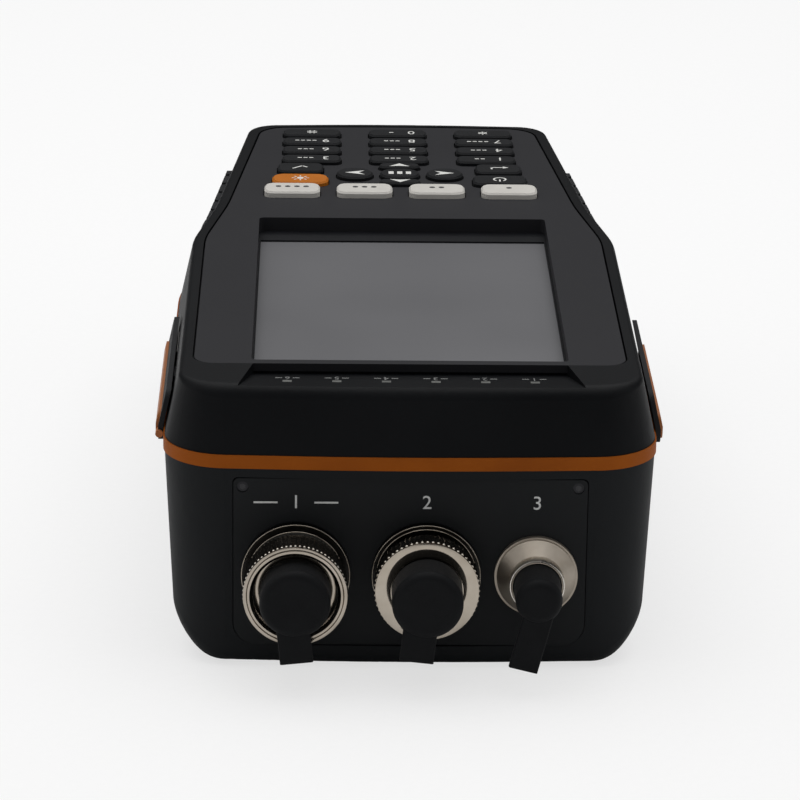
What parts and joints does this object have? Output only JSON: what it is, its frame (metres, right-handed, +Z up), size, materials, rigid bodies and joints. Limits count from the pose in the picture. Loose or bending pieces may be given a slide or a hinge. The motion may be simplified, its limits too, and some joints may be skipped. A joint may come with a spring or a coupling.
{
  "type": "optical time domain reflectometer",
  "caption": "Handheld optical time domain reflectometer with a sunk display, a keypad, capped fibre ports and rubber side covers, lying on its back.",
  "frame": {"origin": "centre of the bounding box, on the plane that the rubber feet rest on", "axes": "+X right as seen from the ports, +Y from the ports to the tail, +Z up, out of the display"},
  "size_m": [0.1122, 0.2418, 0.0658],
  "materials": {
    "case_black": "satin",
    "case_dark": "satin",
    "seal_orange": "matte",
    "plate_graphite": "satin",
    "lens_grey": "satin",
    "bezel_black": "matte",
    "module_steel": "satin",
    "lamp_clear": "gloss",
    "board_green": "satin",
    "panel_black": "satin",
    "screw_steel": "satin",
    "nickel": "satin",
    "ferrule_white": "satin",
    "cap_black": "matte",
    "grip_rubber": "matte",
    "flap_rubber": "matte",
    "socket_plastic": "satin",
    "socket_steel": "satin",
    "pack_grey": "matte",
    "foot_rubber": "matte",
    "key_orange": "matte",
    "key_dark": "matte",
    "key_white": "matte"
  },
  "bodies": {
    "case": {"upper_case": "case_black", "lower_case": "case_dark", "band_seal": "seal_orange", "face_plate": "plate_graphite", "display_glass": "lens_grey", "display_bezel": "bezel_black", "display_module": "module_steel", "led_windows": "lamp_clear", "main_board": "board_green", "port_panel": "panel_black", "small_screws": "screw_steel", "case_screws": "screw_steel", "otdr_flange": "nickel", "otdr_core": "nickel", "opm_flange": "nickel", "vfl_flange": "nickel", "vfl_sleeve": "ferrule_white", "grips": "grip_rubber", "flap_anchors": "flap_rubber", "power_socket": "socket_plastic", "host_socket": "socket_steel", "device_socket": "socket_steel", "battery_pack": "pack_grey", "battery_door": "case_dark", "rubber_feet": "foot_rubber", "optics_module": "module_steel"},
    "key_f1": {"key_f1": "key_white"},
    "key_f2": {"key_f2": "key_white"},
    "key_f3": {"key_f3": "key_white"},
    "key_f4": {"key_f4": "key_white"},
    "key_light": {"key_light": "key_orange"},
    "key_off": {"key_off": "key_dark"},
    "key_ok": {"key_ok": "key_dark"},
    "key_esc": {"key_esc": "key_dark"},
    "key_menu": {"key_menu": "key_dark"},
    "key_left": {"key_left": "key_dark"},
    "key_right": {"key_right": "key_dark"},
    "key_up": {"key_up": "key_dark"},
    "key_down": {"key_down": "key_dark"},
    "key_1": {"key_1": "key_dark"},
    "key_2": {"key_2": "key_dark"},
    "key_3": {"key_3": "key_dark"},
    "key_4": {"key_4": "key_dark"},
    "key_5": {"key_5": "key_dark"},
    "key_6": {"key_6": "key_dark"},
    "key_7": {"key_7": "key_dark"},
    "key_8": {"key_8": "key_dark"},
    "key_9": {"key_9": "key_dark"},
    "key_star": {"key_star": "key_dark"},
    "key_0": {"key_0": "key_dark"},
    "key_hash": {"key_hash": "key_dark"},
    "otdr_ring": {"otdr_ring": "nickel"},
    "opm_adapter": {"opm_adapter": "nickel"},
    "otdr_cap": {"otdr_cap": "cap_black"},
    "opm_cap": {"opm_cap": "cap_black"},
    "vfl_cap": {"vfl_cap": "cap_black"},
    "left_flap": {"left_flap": "flap_rubber", "left_stripe": "seal_orange"},
    "right_flap": {"right_flap": "flap_rubber", "right_stripe": "seal_orange"}
  },
  "joints": [
    {"name": "press_f1", "type": "slide", "parent": "case", "child": "key_f1", "axis": [0, 0, -1], "range_m": [0, 0.0008], "stiffness_N_per_m": 300},
    {"name": "press_f2", "type": "slide", "parent": "case", "child": "key_f2", "axis": [0, 0, -1], "range_m": [0, 0.0008], "stiffness_N_per_m": 300},
    {"name": "press_f3", "type": "slide", "parent": "case", "child": "key_f3", "axis": [0, 0, -1], "range_m": [0, 0.0008], "stiffness_N_per_m": 300},
    {"name": "press_f4", "type": "slide", "parent": "case", "child": "key_f4", "axis": [0, 0, -1], "range_m": [0, 0.0008], "stiffness_N_per_m": 300},
    {"name": "press_light", "type": "slide", "parent": "case", "child": "key_light", "axis": [0, 0, -1], "range_m": [0, 0.0008], "stiffness_N_per_m": 300},
    {"name": "press_off", "type": "slide", "parent": "case", "child": "key_off", "axis": [0, 0, -1], "range_m": [0, 0.0008], "stiffness_N_per_m": 300},
    {"name": "press_ok", "type": "slide", "parent": "case", "child": "key_ok", "axis": [0, 0, -1], "range_m": [0, 0.0008], "stiffness_N_per_m": 300},
    {"name": "press_esc", "type": "slide", "parent": "case", "child": "key_esc", "axis": [0, 0, -1], "range_m": [0, 0.0008], "stiffness_N_per_m": 300},
    {"name": "press_menu", "type": "slide", "parent": "case", "child": "key_menu", "axis": [0, 0, -1], "range_m": [0, 0.0008], "stiffness_N_per_m": 300},
    {"name": "press_left", "type": "slide", "parent": "case", "child": "key_left", "axis": [0, 0, -1], "range_m": [0, 0.0008], "stiffness_N_per_m": 300},
    {"name": "press_right", "type": "slide", "parent": "case", "child": "key_right", "axis": [0, 0, -1], "range_m": [0, 0.0008], "stiffness_N_per_m": 300},
    {"name": "press_up", "type": "slide", "parent": "case", "child": "key_up", "axis": [0, 0, -1], "range_m": [0, 0.0008], "stiffness_N_per_m": 300},
    {"name": "press_down", "type": "slide", "parent": "case", "child": "key_down", "axis": [0, 0, -1], "range_m": [0, 0.0008], "stiffness_N_per_m": 300},
    {"name": "press_1", "type": "slide", "parent": "case", "child": "key_1", "axis": [0, 0, -1], "range_m": [0, 0.0008], "stiffness_N_per_m": 300},
    {"name": "press_2", "type": "slide", "parent": "case", "child": "key_2", "axis": [0, 0, -1], "range_m": [0, 0.0008], "stiffness_N_per_m": 300},
    {"name": "press_3", "type": "slide", "parent": "case", "child": "key_3", "axis": [0, 0, -1], "range_m": [0, 0.0008], "stiffness_N_per_m": 300},
    {"name": "press_4", "type": "slide", "parent": "case", "child": "key_4", "axis": [0, 0, -1], "range_m": [0, 0.0008], "stiffness_N_per_m": 300},
    {"name": "press_5", "type": "slide", "parent": "case", "child": "key_5", "axis": [0, 0, -1], "range_m": [0, 0.0008], "stiffness_N_per_m": 300},
    {"name": "press_6", "type": "slide", "parent": "case", "child": "key_6", "axis": [0, 0, -1], "range_m": [0, 0.0008], "stiffness_N_per_m": 300},
    {"name": "press_7", "type": "slide", "parent": "case", "child": "key_7", "axis": [0, 0, -1], "range_m": [0, 0.0008], "stiffness_N_per_m": 300},
    {"name": "press_8", "type": "slide", "parent": "case", "child": "key_8", "axis": [0, 0, -1], "range_m": [0, 0.0008], "stiffness_N_per_m": 300},
    {"name": "press_9", "type": "slide", "parent": "case", "child": "key_9", "axis": [0, 0, -1], "range_m": [0, 0.0008], "stiffness_N_per_m": 300},
    {"name": "press_star", "type": "slide", "parent": "case", "child": "key_star", "axis": [0, 0, -1], "range_m": [0, 0.0008], "stiffness_N_per_m": 300},
    {"name": "press_0", "type": "slide", "parent": "case", "child": "key_0", "axis": [0, 0, -1], "range_m": [0, 0.0008], "stiffness_N_per_m": 300},
    {"name": "press_hash", "type": "slide", "parent": "case", "child": "key_hash", "axis": [0, 0, -1], "range_m": [0, 0.0008], "stiffness_N_per_m": 300},
    {"name": "turn_otdr_ring", "type": "hinge", "parent": "case", "child": "otdr_ring", "pos_m": [-0.0249, -0.11105, 0.0223], "axis": [0, -1, 0], "continuous": true},
    {"name": "turn_opm_adapter", "type": "hinge", "parent": "case", "child": "opm_adapter", "pos_m": [0.0036, -0.10925, 0.0223], "axis": [0, -1, 0], "continuous": true},
    {"name": "pull_otdr_cap", "type": "slide", "parent": "case", "child": "otdr_cap", "axis": [0, -1, 0], "range_m": [0, 0.03]},
    {"name": "pull_opm_cap", "type": "slide", "parent": "opm_adapter", "child": "opm_cap", "axis": [0, -1, 0], "range_m": [0, 0.03]},
    {"name": "pull_vfl_cap", "type": "slide", "parent": "case", "child": "vfl_cap", "axis": [0, -1, 0], "range_m": [0, 0.03]},
    {"name": "open_right_flap", "type": "hinge", "parent": "case", "child": "right_flap", "pos_m": [0.05547, -0.055, 0.046], "axis": [0, 1, 0], "range_deg": [0, 110]},
    {"name": "open_left_flap", "type": "hinge", "parent": "case", "child": "left_flap", "pos_m": [-0.05547, -0.055, 0.046], "axis": [0, -1, 0], "range_deg": [0, 110]}
  ]
}
